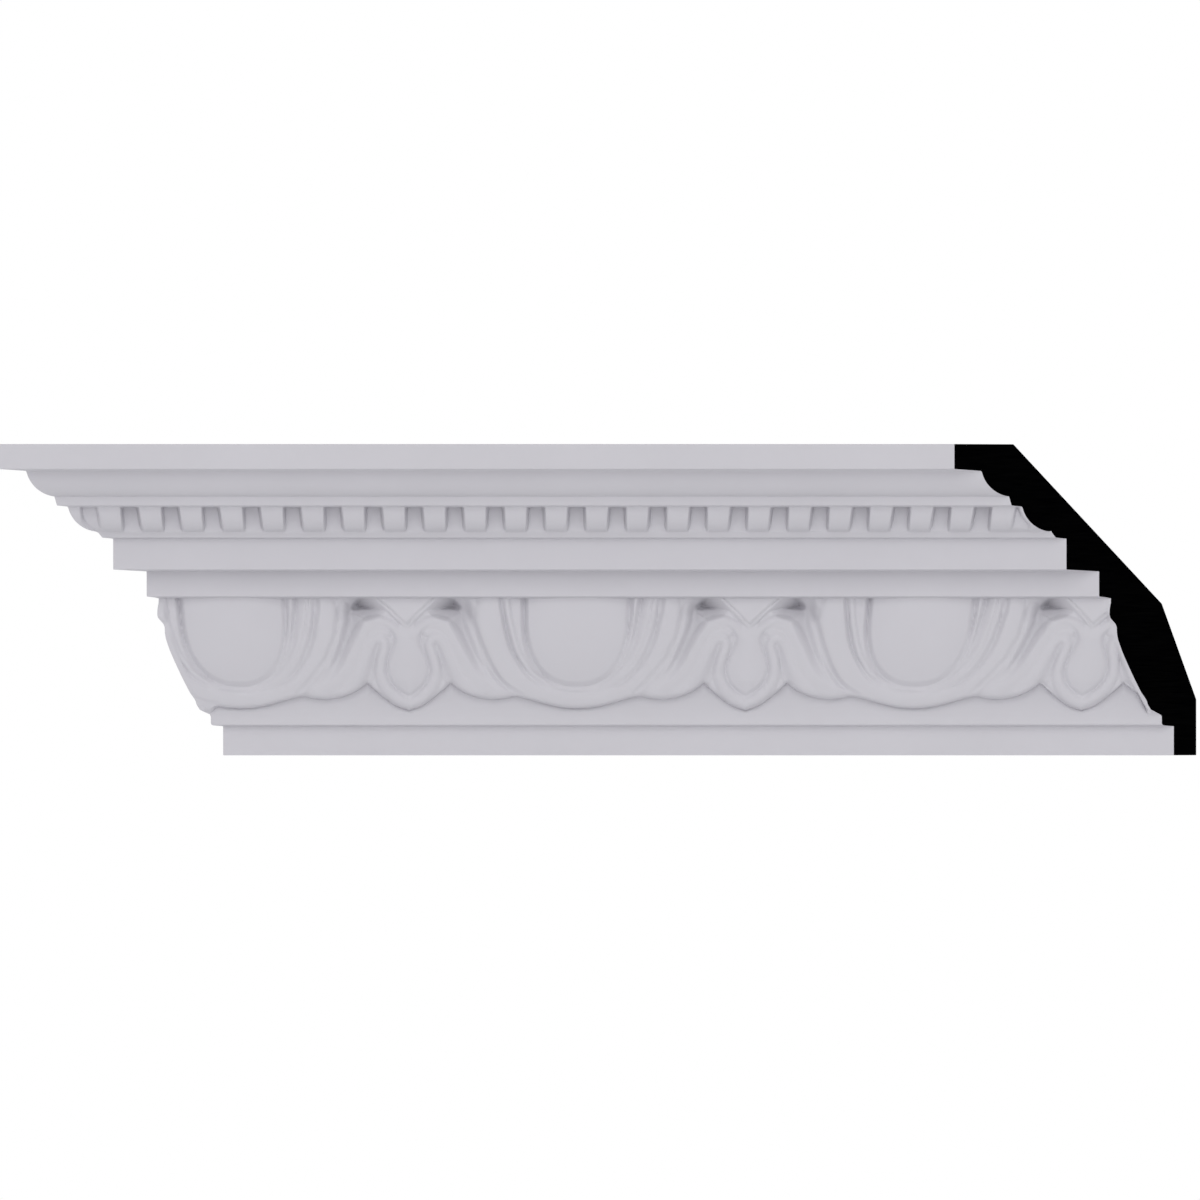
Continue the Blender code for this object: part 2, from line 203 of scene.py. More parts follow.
# Strokes: distance from the egg's middle or from the dart's, distance down, half width, height
LEFT_RIDGE = ((-35.2, 0, 1.9, 1.3), (-34.5, 7.4, 1.9, 1.3), (-32.4, 17.3, 1.8, 1.2),
              (-29.4, 27.2, 1.8, 1.1), (-25.9, 33.1, 1.8, 1.0), (-23.5, 37, 1.8, 0.9),
              (-20.3, 39.4, 1.8, 0.8), (-15.2, 42.2, 1.8, 0.6), (-10.4, 44, 1.8, 0.3), (-5, 45, 1.8, 0))
LEFT_GROOVE = ((-38, 0, 1.7, -1.7), (-37.7, 3.4, 1.7, -1.7), (-36.4, 11.3, 1.6, -1.35),
               (-34.6, 19.3, 1.6, -1.3), (-32.5, 26, 1.5, -1.1), (-29, 32.3, 1.5, -0.9),
               (-25.9, 37, 1.5, -0.75), (-21.9, 41.1, 1.4, -0.6), (-18, 43.4, 1.3, -0.4),
               (-14.4, 45.3, 1.2, -0.1))
LEFT_CREASE = ((-55.5, 0, 2.6, -0.9), (-54.5, 7.5, 2.6, -1.1), (-52.3, 12.5, 2.6, -1.4),
               (-50.3, 18, 2.6, -1.6), (-47.3, 26, 2.6, -1.8), (-43.5, 34, 2.5, -1.9),
               (-39, 41, 2.4, -1.7), (-35.5, 44.2, 2.2, -1.3), (-31.4, 46.6, 2.0, -0.9),
               (-28.2, 48, 1.7, -0.5))
RIGHT_RIDGE = ((28.3, 0, 1.6, 1.3), (27.7, 7.8, 1.6, 1.3), (26.4, 16.7, 1.5, 1.2), (25, 22.5, 1.5, 1.1),
               (23.3, 28.3, 1.4, 1.0), (21, 32.8, 1.4, 0.8), (16.1, 37.7, 1.4, 0.4), (11, 40.8, 1.4, 0))
RIGHT_GROOVE = ((31.2, 0, 1.5, -1.3), (30.8, 5.5, 1.5, -1.2), (29.9, 10.9, 1.4, -0.9),
                (28.6, 18.5, 1.3, -0.7), (27.7, 22.9, 1.3, -0.4), (25.5, 28.7, 1.2, -0.35),
                (22, 34, 1.2, -0.2), (18.8, 37.7, 1.2, 0))
RIGHT_BAND = ((36.8, 0, 3.9, 1.5), (36.2, 5.5, 3.8, 1.5), (34.6, 13.5, 3.7, 1.4),
              (32.4, 22.5, 3.6, 1.3), (29.7, 28.7, 3.4, 1.2), (27.9, 32.3, 3.2, 1.0),
              (22.4, 38.8, 3.0, 0.6), (17, 43.2, 2.6, 0))
BAND_NOTCH = ((36.6, 0, 1.0, -0.7), (36.0, 6, 1.0, -0.7), (34.3, 15, 1.0, -0.6), (32.0, 23, 1.0, -0.5),
              (29.2, 30, 1.0, -0.4), (25.5, 36, 1.0, -0.2))
BAND_GROOVE = ((41.0, 0, 2.4, -1.9), (40.6, 6.4, 2.4, -1.6), (39.6, 12.2, 2.2, -0.8),
               (38, 18.9, 2.2, -0.5), (35.8, 23.4, 2.1, -0.4), (33.5, 28.7, 2.0, -0.3),
               (30.8, 33.2, 1.9, -0.2), (26.8, 37.7, 1.8, 0))
RIGHT_CREASE = ((52, 0, 2.0, 0), (50.4, 13, 2.2, -0.5), (49.6, 18.9, 2.2, -0.7),
                (46.5, 25.2, 2.2, -0.9), (44.7, 29.6, 2.0, -0.9), (41.1, 34.1, 2.0, -0.9),
                (37.5, 38.6, 1.9, -0.9), (32.2, 44.4, 1.8, -0.9), (29, 47, 1.5, -0.5))
LEAF_RIDGE = ((54.8, 4, 2.2, 0.9), (54, 10.9, 2.1, 0.9), (52, 17.5, 2.0, 0.8), (49.6, 24.3, 2.0, 0.8),
              (44.7, 34.6, 2.0, 0.7), (39.3, 40.8, 2.0, 0.6), (35, 45, 1.8, 0.5))
OUTER_RIB = ((45, 46.5, 7.0, 1.7), (37.5, 41, 6.0, 1.7), (32.0, 34.5, 5.0, 1.7), (28.6, 28.2, 4.2, 1.7),
             (26.0, 22, 3.8, 1.7), (23.2, 16.6, 3.6, 1.7), (19.8, 12.9, 3.4, 1.7),
             (15.2, 11.2, 3.2, 1.7), (10.4, 12.0, 3.0, 1.6), (6.4, 14.6, 3.0, 1.5),
             (3.2, 18.6, 3.2, 1.2))
LEAF_BODY = ((10.5, 16.5, 3.0, 1.1), (16, 15.6, 4.2, 1.4), (20.2, 19, 4.4, 1.4), (23, 25, 4.4, 1.4),
             (26, 32, 4.6, 1.4), (30.5, 39, 5.0, 1.3), (36, 44.5, 5.5, 1.3))
MIDDLE_RIB = ((32, 47, 4.6, 1.5), (26.8, 40.5, 4.0, 1.5), (23.0, 34.5, 3.4, 1.6),
              (20.4, 28.5, 3.0, 1.6), (18.2, 23.6, 2.8, 1.6), (15.8, 20.6, 2.7, 1.6),
              (13.0, 20.2, 2.7, 1.6), (11.2, 22.6, 2.7, 1.6), (11.8, 26.5, 2.8, 1.6),
              (13.2, 31, 2.9, 1.7), (14.0, 36, 3.0, 1.7), (13.4, 40.5, 3.2, 1.7),
              (11.2, 44.9, 3.3, 1.8), (7.6, 48.8, 3.4, 1.9), (3.6, 51.8, 3.4, 1.9), (0, 53.0, 3.4, 1.9))
SLOT = ((14.9, 25.0, 1.5, -0.3), (15.9, 28, 1.6, -0.6), (17.1, 33, 1.7, -0.8), (18.7, 38, 2.0, -1.0),
        (20.9, 43, 2.8, -1.6))
POCKET = ((10.5, 2.6, 2.8, -1.4), (14, 3.0, 5.4, -4.4), (19, 3.6, 7.6, -6.4), (24, 4.4, 8.0, -6.8),
          (27.4, 7.0, 7.4, -6.2), (27.4, 11, 6.8, -5.0), (28.9, 17, 5.6, -3.6), (31.7, 24, 4.6, -2.7),
          (34.5, 31, 3.7, -2.0), (37.7, 36.8, 3.0, -1.3), (43, 41.8, 2.5, -0.6), (49, 45.8, 2.0, 0))
POCKET_CORE = ((12.0, 2.4, 1.8, -3.0), (15.5, 2.3, 2.8, -6.2), (19.0, 2.4, 3.2, -6.8),
               (22.5, 2.8, 2.9, -5.8), (25.4, 4.2, 2.0, -2.6))
BULB_GROOVE = ((18.1, 15.8, 1.2, -0.1), (13.1, 14.9, 1.3, -0.3), (9.4, 15.8, 1.4, -0.5),
               (6.9, 18.6, 1.5, -0.6), (6.9, 22.5, 1.5, -0.55), (9.2, 28.5, 1.5, -0.5),
               (10.6, 33.5, 1.5, -0.45), (10.4, 37.5, 1.5, -0.4), (8.9, 41.5, 1.4, -0.4),
               (6.4, 44.7, 1.3, -0.4), (3.2, 47.0, 1.2, -0.35), (0.8, 48.2, 1.1, -0.2))
LEAF_GROOVE = ((13.1, 14.9, 1.2, -0.1), (17.6, 16.2, 1.2, -0.25), (20.2, 19.6, 1.2, -0.35),
               (22.4, 24.5, 1.3, -0.35), (24.8, 30.5, 1.4, -0.3), (27.2, 36.5, 1.6, -0.25),
               (31, 42, 1.8, 0))

# How a stroke falls off from its middle line: fullness, flare
RIB = (2, 1)
GROOVE = (2, 2)
PLATEAU = (4, 1)
PIT = (1.2, 1.1)
DIP = (1.4, 1.3)

STROKE_STEPS = 10
UNION_SHARPNESS = 5

# Primer: its cloudy colour, a painted shade that darkens it from part of the way to a deep hollow, in
# millimetres, and its gloss.
# Grain: noise scale per metre, bump height in metres, strength
PRIMER = (0.525, 0.515, 0.55)
PRIMER_SPREAD = 0.012
CLOUD_SCALE = 18
DEEP_HOLLOW = 12.0
PAINTED_SHADE_TINT = (0.78, 0.78, 0.79)
PAINTED_SHADE_START = 0.3
PRIMER_ROUGHNESS = (0.58, 0.70)
GLOSS_SCALE = 260
PRIMER_SPECULAR = 0.4
PRIMER_GRAIN = ((900, 0.00004, 0.25), (140, 0.00015, 0.15))

# Sawn ends: level lines, so their noise is 22 times finer in height than along
CUT_DARK = (0.0002, 0.0002, 0.0003)
CUT_PALE = (0.0011, 0.0011, 0.0012)
SAW_LINE_SCALE = 60
SAW_LINE_STRETCH = (1, 1, 22)
SAW_LINE_HEIGHT = 0.0002
SAW_LINE_STRENGTH = 0.3
CUT_ROUGHNESS = (0.85, 1.0)
CUT_GRAIN_SCALE = 400

# Floor, in metres
FLOOR_COLOUR = (0.84, 0.84, 0.85)
FLOOR_SHADE = 0.985
FLOOR_CLOUD_SCALE = 3
FLOOR_ROUGHNESS = 0.9
FLOOR_SIZE = 16.0
FLOOR_BELOW = 0.45

# Light: the dome is white behind the object, and softer in front of it, where the lamps are.
# Each lamp: degrees round from the front, degrees up, its width in degrees, strength
DOME_BACK = 1.0
DOME_FRONT = 0.6
DOME_BLEND = 0.25
LAMPS = ((180, 60, 60, 0.48), (0, 22, 40, 0.73), (0, 0, 30, 0.63))


def smoothstep(share):
    """0 to 1, with a soft start and end."""
    share = np.clip(share, 0, 1)
    return share ** 2 * (3 - 2 * share)


def smooth_path(points):
    """Catmull-Rom curve through the points."""
    knots = np.array(points, dtype=float)
    padded = np.vstack([2 * knots[0] - knots[1], knots, 2 * knots[-1] - knots[-2]])
    t = np.linspace(0, 1, STROKE_STEPS, endpoint=False)[:, None]
    spans = []
    for a, b, c, d in zip(padded, padded[1:], padded[2:], padded[3:]):
        cubic = 3 * b - a - 3 * c + d
        spans.append(b + 0.5 * ((c - a) * t + (2 * a - 5 * b + 4 * c - d) * t ** 2 + cubic * t ** 3))
    return np.vstack(spans + [knots[-1:]])


def stroke(points, across, down, profile):
    """Height of a stroke that swells and narrows along its path, at each grid point."""
    path = smooth_path(points)
    gap = np.hypot(across[..., None] - path[:, 0], down[..., None] - path[:, 1])
    reach = gap / path[:, 2]
    nearest = reach.argmin(axis=-1)
    reach = np.minimum(reach.min(axis=-1), 1)
    fullness, flare = profile
    return path[nearest, 3] * (1 - reach ** fullness) ** flare


def lower_edge(beside):
    """How far down the carving reaches."""
    outline = np.vstack([smooth_path(FRAME_AND_LEAF_EDGE), smooth_path(DART_EDGE)[1:]])
    return np.interp(HALF_REPEAT - np.abs(HALF_REPEAT - np.abs(beside)), outline[:, 0], outline[:, 1])


def egg_and_crease(beside, down):
    """Rise of the egg's dome over the field, and the crease round it."""
    half_width = np.where(beside < 0, EGG_LEFT_HALF_WIDTH, EGG_RIGHT_HALF_WIDTH)
    below = np.maximum(down - EGG_MIDDLE_DOWN, 0)
    egg = ((np.abs(beside) / half_width) ** EGG_SQUARENESS
           + (below / EGG_HALF_HEIGHT) ** EGG_SQUARENESS) ** (1 / EGG_SQUARENESS)
    left = np.interp(down, CREASE_DOWN, CREASE_LEFT)
    right = np.interp(down, CREASE_DOWN, CREASE_RIGHT)
    side = np.clip(beside / CREASE_BLEND + 0.5, 0, 1)
    nearness = np.maximum(1 - np.abs(egg - CREASE_AT) / CREASE_REACH, 0)
    crease = (left + (right - left) * side) * nearness ** CREASE_FLARE
    return EGG_RISE * (1 - np.minimum(egg, 1) ** EGG_FULLNESS), crease


def ring(beside, down):
    """Rise of the round frame outside the egg."""
    radius = np.hypot(beside, down - EGG_MIDDLE_DOWN)
    inner = RING_INNER + (RING_INNER_RIGHT - RING_INNER) * np.clip(beside / RING_NARROWING, 0, 1)
    across = np.where(radius < RING_RADIUS, (RING_RADIUS - radius) / inner,
                      (radius - RING_RADIUS) / RING_OUTER)
    return RING_RISE * (1 - np.minimum(across, 1) ** RING_FULLNESS)


def bulb(from_dart, down):
    """Rise of the dart's rounded bulb."""
    outline = smooth_path(BULB_OUTLINE)
    top, tip = outline[0, 0], outline[-1, 0]
    half_width = np.maximum(np.interp(down, outline[:, 0], outline[:, 1]), BULB_NARROWEST)
    across = np.minimum(from_dart / half_width, 1)
    ends = np.clip((down - top) / BULB_END, 0, 1) * np.clip((tip - down) / BULB_END, 0, 1)
    return BULB_RISE * (1 - across ** 2) * ends ** BULB_END_CURVE


def carving(beside, down):
    """Height of the carved face over the band's own curve."""
    from_dart = np.abs(beside - np.where(beside < 0, -HALF_REPEAT, HALF_REPEAT))
    egg, crease = egg_and_crease(beside, down)
    bodies = [egg, ring(beside, down), bulb(from_dart, down)]
    bodies += [stroke(OUTER_RIB, from_dart, down, RIB), stroke(MIDDLE_RIB, from_dart, down, RIB)]
    bodies.append(stroke(LEAF_BODY, from_dart, down, PLATEAU))
    bodies += [stroke(rib, beside, down, RIB) for rib in (LEFT_RIDGE, RIGHT_RIDGE, RIGHT_BAND, LEAF_RIDGE)]
    rise = sum(np.maximum(body, 0) ** UNION_SHARPNESS for body in bodies) ** (1 / UNION_SHARPNESS)
    level = FIELD + rise - crease
    for groove in (LEFT_GROOVE, LEFT_CREASE, RIGHT_GROOVE, BAND_NOTCH, BAND_GROOVE, RIGHT_CREASE):
        level += stroke(groove, beside, down, GROOVE)
    for groove in (SLOT, BULB_GROOVE, LEAF_GROOVE):
        level += stroke(groove, from_dart, down, GROOVE)
    level += stroke(POCKET, from_dart, down, DIP) + stroke(POCKET_CORE, from_dart, down, PIT)
    level = np.maximum(level, facet_and_fillet(from_dart, down))
    to_edge = np.clip(1 - (lower_edge(beside) - down) / EDGE_ROUND, 0, 1)
    return level - EDGE_ROLL * to_edge ** 2


def facet_and_fillet(from_dart, down):
    """The flat V between the leaves, with steep sides, and the thin fillet that runs along it."""
    slope = FACET_HALF_WIDTH / FACET_DOWN
    outside = (from_dart - FACET_HALF_WIDTH + slope * down) / math.hypot(1, slope)
    facet = FACET_RISE * (down - FACET_START) - WALL_STEEPNESS * np.maximum(outside, 0)
    beside = np.maximum(np.abs(outside - FILLET_OUT) - FILLET_HALF, 0)
    return np.maximum(facet, FILLET_LEVEL - WALL_STEEPNESS * beside)


class Section:
    """Walks round the section. Each member is a corner, or a function that makes its rows."""

    def __init__(self):
        self.members = []
        self.corner(0.0, 0.0)

    def corner(self, depth, drop, arris=ARRIS, smooth=False):
        self.depth = depth
        self.drop = drop
        self.members.append({"place": (depth, drop), "arris": arris, "smooth": smooth})

    def go(self, back=0.0, down=0.0, arris=ARRIS):
        self.corner(self.depth + back, self.drop + down, arris)

    def soffit(self, back):
        self.go(back, SOFFIT_FALL)

    def ledge(self, back):
        self.go(back, LEDGE_FALL)

    def round(self, radius):
        """The corner that it starts from, and those of the round, stay as they are."""
        self.members[-1]["arris"] = 0
        for depth, drop in quarter_round(self.depth + QUIRK, self.drop + QUIRK, radius):
            self.corner(depth, drop, arris=0, smooth=True)

    def rows(self, maker, depth, drop):
        """Takes the place of the corner that it starts from."""
        self.members[-1] = {"rows": maker, "place": self.members[-1]["place"], "end": (depth, drop)}
        self.depth = depth
        self.drop = drop

    def dentils(self):
        face = quarter_round(self.depth + QUIRK, self.drop + QUIRK, DENTIL_RADIUS)
        depth, drop = face[-1]
        self.rows(partial(dentil_rows, self.depth, self.drop, face), depth + BEAD_SETBACK, drop + BEAD_DROP)

    def egg_and_dart(self):
        self.rows(partial(carved_rows, self.depth, self.drop),
                  self.depth + BAND_SETBACK + BAND_LEAN + GROUND_FOOT_DEPTH,
                  self.drop + QUIRK + BAND_HEIGHT)

    def all_rows(self, left, right):
        """(row, whether the faces down to the next row are smooth) for every row of the section."""
        made = []
        count = len(self.members)
        for n, member in enumerate(self.members):
            if "rows" in member:
                made += [(row, True) for row in member["rows"](left, right)]
                continue
            before = self.members[n - 1]
            after = self.members[(n + 1) % count]
            places = [member["place"]]
            if member["arris"]:
                places = soft_corner(before.get("end", before["place"]), member["place"], after["place"],
                                     member["arris"])
            smooth = member["smooth"] and after.get("smooth", False)
            made += [([(left, *place, 0.0), (right, *place, 0.0)], smooth) for place in places]
        return made


def soft_corner(before, corner, after, arris):
    """A short curve in place of a sharp corner."""
    before, corner, after = (np.array(place) for place in (before, corner, after))
    toward, away = before - corner, after - corner
    reach = min(arris, ARRIS_SHARE * np.hypot(*toward), ARRIS_SHARE * np.hypot(*away))
    start = corner + toward / np.hypot(*toward) * reach
    end = corner + away / np.hypot(*away) * reach
    return [tuple((1 - t) ** 2 * start + 2 * t * (1 - t) * corner + t ** 2 * end)
            for t in np.linspace(0, 1, ARRIS_STEPS + 1)]


def quarter_round(depth, drop, radius):
    """Points of a convex quarter round that begins at the given depth and drop."""
    middle_depth = depth + radius * math.cos(ROUND_START)
    middle_drop = drop - radius * math.sin(ROUND_START)
    angles = np.linspace(ROUND_START, ROUND_END, ROUND_STEPS + 1)
    return [(middle_depth - radius * math.cos(a), middle_drop + radius * math.sin(a)) for a in angles]


def cuts_at(depth):
    """Where the left and the right cut are at the given depth."""
    return depth * MITRE_SLOPE, FRONT_LENGTH + depth * MITRE_SLOPE


def teeth_across(teeth, half_width, lean, face_depth, hollow_depth, top_depth):
    """Four places to a tooth, then how far the hollows before and after it are filled.

    The tooth beside a cut reaches along it in a thin web, so that no hollow is cut open.
    """
    start_left, start_right = cuts_at(top_depth)
    left_tooth = math.floor((start_left - FIRST_DENTIL + DENTIL_TOP_WIDTH / 2) / DENTIL_PITCH)
    right_tooth = math.ceil((start_right - FIRST_DENTIL - DENTIL_TOP_WIDTH / 2) / DENTIL_PITCH)
    face_left, face_right = cuts_at(face_depth)
    hollow_left = cuts_at(hollow_depth + (face_depth - hollow_depth) * FILL_BESIDE_CUT)[0]
    foot_half = half_width + DENTIL_DRAFT
    places = []
    for n in teeth:
        middle = FIRST_DENTIL + DENTIL_PITCH * n
        middle -= lean * (middle - UPRIGHT_PLACE)
        start, end = middle - foot_half, middle + foot_half
        face_start, face_end = middle - half_width, middle + half_width
        if n == left_tooth:
            limit = start + DENTIL_PITCH - SMALLEST_HOLLOW
            end = min(max(end, hollow_left + DENTIL_WEB), limit)
            face_end = min(max(face_end, face_left + DENTIL_WEB), limit - SMALLEST_HOLLOW)
        if n == right_tooth:
            limit = end - DENTIL_PITCH + SMALLEST_HOLLOW
            face_start = max(min(face_start, face_right - DENTIL_WEB), limit + SMALLEST_HOLLOW)
            start = max(min(start, face_start - DENTIL_DRAFT), limit)
        before = FILL_BESIDE_CUT if n in (left_tooth + 1, right_tooth) else 0.0
        after = FILL_BESIDE_CUT if n in (left_tooth, right_tooth - 1) else 0.0
        places.append((start, face_start, face_end, end, before, after))
    return places


def dentil_row(left, right, places, face_depth, hollow_depth, drop):
    """One level of the course: hollow, drafted side, rounded arris, face, and the same in reverse."""
    points = [(left, 0.0)]
    for start, face_start, face_end, end, before, after in places:
        arris = min(DENTIL_ARRIS, (face_end - face_start) * DENTIL_ARRIS_SHARE)
        points += [(start + (face_start - start) * along, before + (1 - before) * out)
                   for along, out in TOOTH_SIDE]
        points += [(face_start + arris * along, out) for along, out in TOOTH_ARRIS]
        points += [(face_end - arris * along, out) for along, out in TOOTH_ARRIS[::-1]]
        points += [(end + (face_end - end) * along, after + (1 - after) * out)
                   for along, out in TOOTH_SIDE[::-1]]
    points.append((right, 0.0))
    return [(x, hollow_depth + (face_depth - hollow_depth) * out, drop, 0.0) for x, out in points]


def dentil_rows(depth, drop, face, left, right):
    """The hollows slope straight back from the top of the course to the bead below it."""
    first = math.ceil((left - FIRST_DENTIL) / DENTIL_PITCH + 0.5)
    last = math.floor((right - FIRST_DENTIL) / DENTIL_PITCH - 0.5)
    teeth = range(first, last + 1)
    top_depth, top_drop = face[0]
    foot_depth, foot_drop = face[-1]
    bead_depth, bead_drop = foot_depth + BEAD_SETBACK, foot_drop + BEAD_DROP
    hollow_top = top_depth + DENTIL_PROJECTION
    places = teeth_across(teeth, DENTIL_TOP_WIDTH / 2, 0.0, top_depth, hollow_top, top_depth)
    rows = [dentil_row(left, right, places, depth, depth, drop)]
    for face_depth, face_drop in face:
        share = (face_drop - top_drop) / (bead_drop - top_drop)
        hollow_depth = hollow_top + (bead_depth - hollow_top) * share
        down = (face_drop - top_drop) / (foot_drop - top_drop)
        half_width = (DENTIL_TOP_WIDTH + (DENTIL_FOOT_WIDTH - DENTIL_TOP_WIDTH) * down) / 2
        half_width -= DENTIL_ROUNDING * down ** ROUNDING_CURVE
        places = teeth_across(teeth, half_width, DENTIL_LEAN * down, face_depth, hollow_depth, top_depth)
        rows.append(dentil_row(left, right, places, face_depth, hollow_depth, face_drop))
    rows.append(dentil_row(left, right, places, bead_depth, bead_depth, bead_drop))
    return rows


def carved_columns(left, right):
    """Places along the length where the carving is cut, with one at each of its cusps."""
    half = np.concatenate([np.linspace(a, b, n, endpoint=False)
                           for a, b, n in zip(COLUMN_CUSPS, COLUMN_CUSPS[1:], COLUMN_COUNTS)])
    repeat = np.concatenate([half, [HALF_REPEAT], EGG_PITCH - half[:0:-1]])
    first = math.floor((left - FIRST_EGG) / EGG_PITCH)
    last = math.ceil((right - FIRST_EGG) / EGG_PITCH)
    x = np.concatenate([FIRST_EGG + EGG_PITCH * n + repeat for n in range(first, last)])
    x = x[(x > left + NARROWEST_COLUMN) & (x < right - NARROWEST_COLUMN)]
    return np.concatenate([[left], x, [right]])


def nearness_to_cut(x, depth, sunk):
    """1 along either cut, falling to 0 where the relief is whole. The left cut goes on behind a hollow."""
    left_cut = cuts_at(depth + sunk)[0]
    right_cut = cuts_at(depth)[1]
    gap = np.minimum(x - left_cut, right_cut - x)
    return smoothstep((RELIEF_FADE - gap) / (RELIEF_FADE - RELIEF_WEB))


def relief_lean(x, down):
    """How far the relief is shifted to the right at the given place."""
    return RELIEF_LEAN * (x - UPRIGHT_PLACE) * (RELIEF_PIVOT_DOWN - down)


def band_depth(depth, down):
    """Depth of the band's own curve, where the member above it ends at the given depth."""
    return depth + BAND_SETBACK + BAND_LEAN * (down / BAND_HEIGHT) ** BAND_CURVE


def ground_depth(down):
    """How far behind the band's curve the sunk ground lies."""
    return GROUND_TOP_DEPTH + (GROUND_FOOT_DEPTH - GROUND_TOP_DEPTH) * down / BAND_HEIGHT


def edge_near_cuts(depth, x, beside):
    """How far down the carving reaches at each place, and its nearness to a cut, from 0 to 1.

    At the left cut, and along the web of the right cut, the edge runs down to the cut outline's foot.
    """
    left_end = cuts_at(band_depth(depth, CUT_OUTLINE_FOOT) + ground_depth(CUT_OUTLINE_FOOT))[0]
    near_left = smoothstep(1 - (x - left_end) / EDGE_FADE)
    along_cut = (x + RELIEF_WEB - cuts_at(band_depth(depth, 0))[1]) / (BAND_LEAN * MITRE_SLOPE)
    web = np.clip(along_cut, 0, 1) ** (1 / BAND_CURVE) * BAND_HEIGHT
    near_right = np.clip((web - CUT_OUTLINE_FOOT) / FOOT_FADE + 1, 0, 1)

    edge = lower_edge(beside - relief_lean(x, EDGE_DOWN))
    edge += (CUT_OUTLINE_FOOT - edge) * near_left
    edge = np.clip(np.maximum(edge, web), None, CUT_OUTLINE_FOOT)
    return edge, np.maximum(near_left, near_right)


def carved_rows(depth, drop, left, right):
    """Rows follow the carving's lower edge, so that the edge stays crisp."""
    x = carved_columns(left, right)
    along = (x - FIRST_EGG) / EGG_PITCH
    beside = (along - np.round(along)) * EGG_PITCH
    outline_down, outline_height = np.array(CUT_OUTLINE).T
    edge, near = edge_near_cuts(depth, x, beside)
    start = edge + EDGE_FALL + (CUT_EDGE_FALL - EDGE_FALL) * near

    def row(down, sunk):
        return list(zip(x, band_depth(depth, down) + sunk, drop + QUIRK + down, np.maximum(sunk, 0)))

    rows = [[(place, depth, drop, 0.0) for place in x]]
    for share in np.linspace(0, 1, CARVED_ROWS):
        down = share * edge
        height = carving(beside - relief_lean(x, down), down)
        blend = nearness_to_cut(x, band_depth(depth, down), np.maximum(-height, 0))
        height += (np.interp(down, outline_down, outline_height) - height) * blend
        rows.append(row(down, np.minimum(-height, ground_depth(down))))
    for share, deeper in GROUND_ROWS:
        down = start + (BAND_HEIGHT - start) * share
        rows.append(row(down, ground_depth(down) + deeper * (1 - near)))
    return rows


def walk_section():
    """The whole section: down the front, along the foot, and up the wall and the sloping back."""
    section = Section()
    section.go(down=TOP_FASCIA_HEIGHT)
    section.soffit(TOP_SOFFIT_DEPTH)
    section.round(OVOLO_RADIUS)
    section.go(FILLET_DRAFT, FILLET_HEIGHT)
    section.ledge(FILLET_LEDGE_DEPTH)
    section.dentils()
    section.go(BEAD_DEPTH, BEAD_HEIGHT)
    section.ledge(BEAD_LEDGE_DEPTH)
    section.go(down=MIDDLE_FASCIA_HEIGHT)
    section.soffit(MIDDLE_SOFFIT_DEPTH)
    section.go(down=LOWER_FASCIA_HEIGHT)
    section.ledge(LOWER_LEDGE_DEPTH)
    knee = (section.depth + BAND_SETBACK + GROUND_TOP_DEPTH + BACK_COVER,
            section.drop + KNEE_BELOW_BAND_TOP)
    section.egg_and_dart()
    section.go(down=FOOT_HEIGHT, arris=FOOT_ARRIS)
    section.ledge(FOOT_LEDGE_DEPTH)
    section.go(down=BASE_FASCIA_HEIGHT)
    section.go(back=BASE_THICKNESS)
    section.go(down=-WALL_FACE_HEIGHT)
    section.corner(*knee)
    section.corner(CEILING_FACE_DEPTH, 0.0)
    return section


def join_rows(bm, upper, lower, smooth):
    """Quads between rows with the same number of points, or else one flat face."""
    if len(upper) == len(lower):
        for a, b, c, d in zip(upper, upper[1:], lower[1:], lower):
            bm.faces.new((a, b, c, d)).smooth = smooth
    else:
        bm.faces.new(upper + lower[::-1])


def cut_end(bm, place, normal, keep_outer):
    """Cuts the body on a plane and closes it with one flat face in the second material."""
    everything = bm.verts[:] + bm.edges[:] + bm.faces[:]
    cut = bmesh.ops.bisect_plane(bm, geom=everything, dist=CUT_TOLERANCE, plane_co=place,
                                 plane_no=normal, clear_inner=keep_outer, clear_outer=not keep_outer)
    rim = [piece for piece in cut["geom_cut"] if isinstance(piece, bmesh.types.BMEdge)]
    made = bmesh.ops.contextual_create(bm, geom=rim)
    for face in made["faces"]:
        face.material_index = 1
        face.smooth = False


def make_cornice(lowest, highest):
    """The whole length as one closed mesh, set on the frame's own corner."""
    section = walk_section()
    wall_depth = max(member["place"][0] for member in section.members)
    left = -CUT_ALLOWANCE
    right = FRONT_LENGTH + wall_depth * MITRE_SLOPE + CUT_ALLOWANCE

    bm = bmesh.new()
    # How deep each point is sunk, which the primer reads to paint shade into the deep hollows
    hollow = bm.verts.layers.float.new("hollow")
    rows = []
    for row, smooth in section.all_rows(left, right):
        verts = []
        for x, depth, drop, sunk in row:
            vert = bm.verts.new((lowest.x + x * MM, lowest.y + depth * MM, highest.z - drop * MM))
            vert[hollow] = sunk
            verts.append(vert)
        rows.append((verts, smooth))
    for (upper, smooth), (lower, _) in zip(rows, rows[1:] + rows[:1]):
        join_rows(bm, upper, lower, smooth)

    normal = (1.0, -MITRE_SLOPE, 0.0)
    cut_end(bm, (lowest.x, lowest.y, 0.0), normal, keep_outer=True)
    cut_end(bm, (lowest.x + FRONT_LENGTH * MM, lowest.y, 0.0), normal, keep_outer=False)
    bmesh.ops.recalc_face_normals(bm, faces=bm.faces[:])

    mesh = bpy.data.meshes.new("cornice_moulding")
    bm.to_mesh(mesh)
    bm.free()
    mesh.set_sharp_from_angle(angle=SMOOTH_ANGLE)
    return mesh


